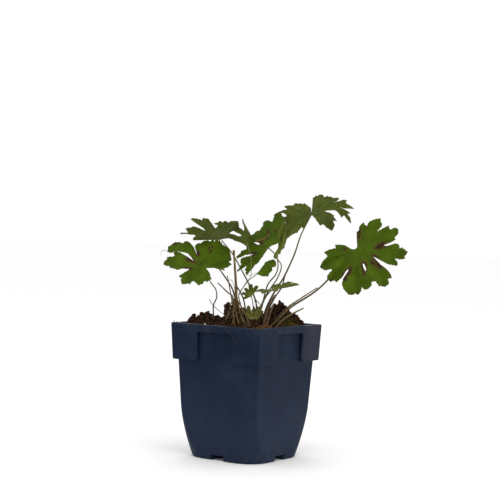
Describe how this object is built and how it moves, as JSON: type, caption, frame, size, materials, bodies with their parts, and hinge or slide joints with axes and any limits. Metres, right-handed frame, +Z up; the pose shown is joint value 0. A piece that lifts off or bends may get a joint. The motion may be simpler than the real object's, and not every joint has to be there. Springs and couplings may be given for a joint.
{
  "type": "potted hardy geranium",
  "caption": "Young hardy geranium with deeply cut leaves on long thin stalks, growing in a square plastic nursery pot filled with bark potting mix.",
  "frame": {"origin": "centre of the bounding box in X and Y, on the plane that the pot's feet stand on", "axes": "+Z up; X and Y run square to the pot's sides, the plant's widest spread lies about 36 degrees from +X towards +Y"},
  "size_m": [0.1694, 0.117, 0.2175],
  "materials": {
    "pot": "moulded navy plastic, fine satin grain, light dust",
    "soil": "dark bark potting mix, rough and crumbly",
    "crown": "dry brown bases of old leaf stalks",
    "leaf": "soft green leaf, finely hairy, matt, with brown blotches at the cuts",
    "dead_stalk": "dry straw-coloured stalk"
  },
  "bodies": {
    "root": {"pot": "pot", "soil": "soil", "crown": "crown", "leaf_right": "leaf", "leaf_top": "leaf", "leaf_centre": "leaf", "leaf_left": "leaf", "leaf_upper_left": "leaf", "leaf_folded": "leaf", "leaf_small": "leaf", "leaf_low": "leaf", "leaf_inner": "leaf", "leaf_bud": "leaf", "stalk_thick": "dead_stalk", "stalk_left": "dead_stalk", "stalk_behind": "dead_stalk", "stalk_stub": "dead_stalk", "stalk_centre": "dead_stalk", "stalk_right": "dead_stalk", "stub_right": "dead_stalk"}
  },
  "joints": []
}
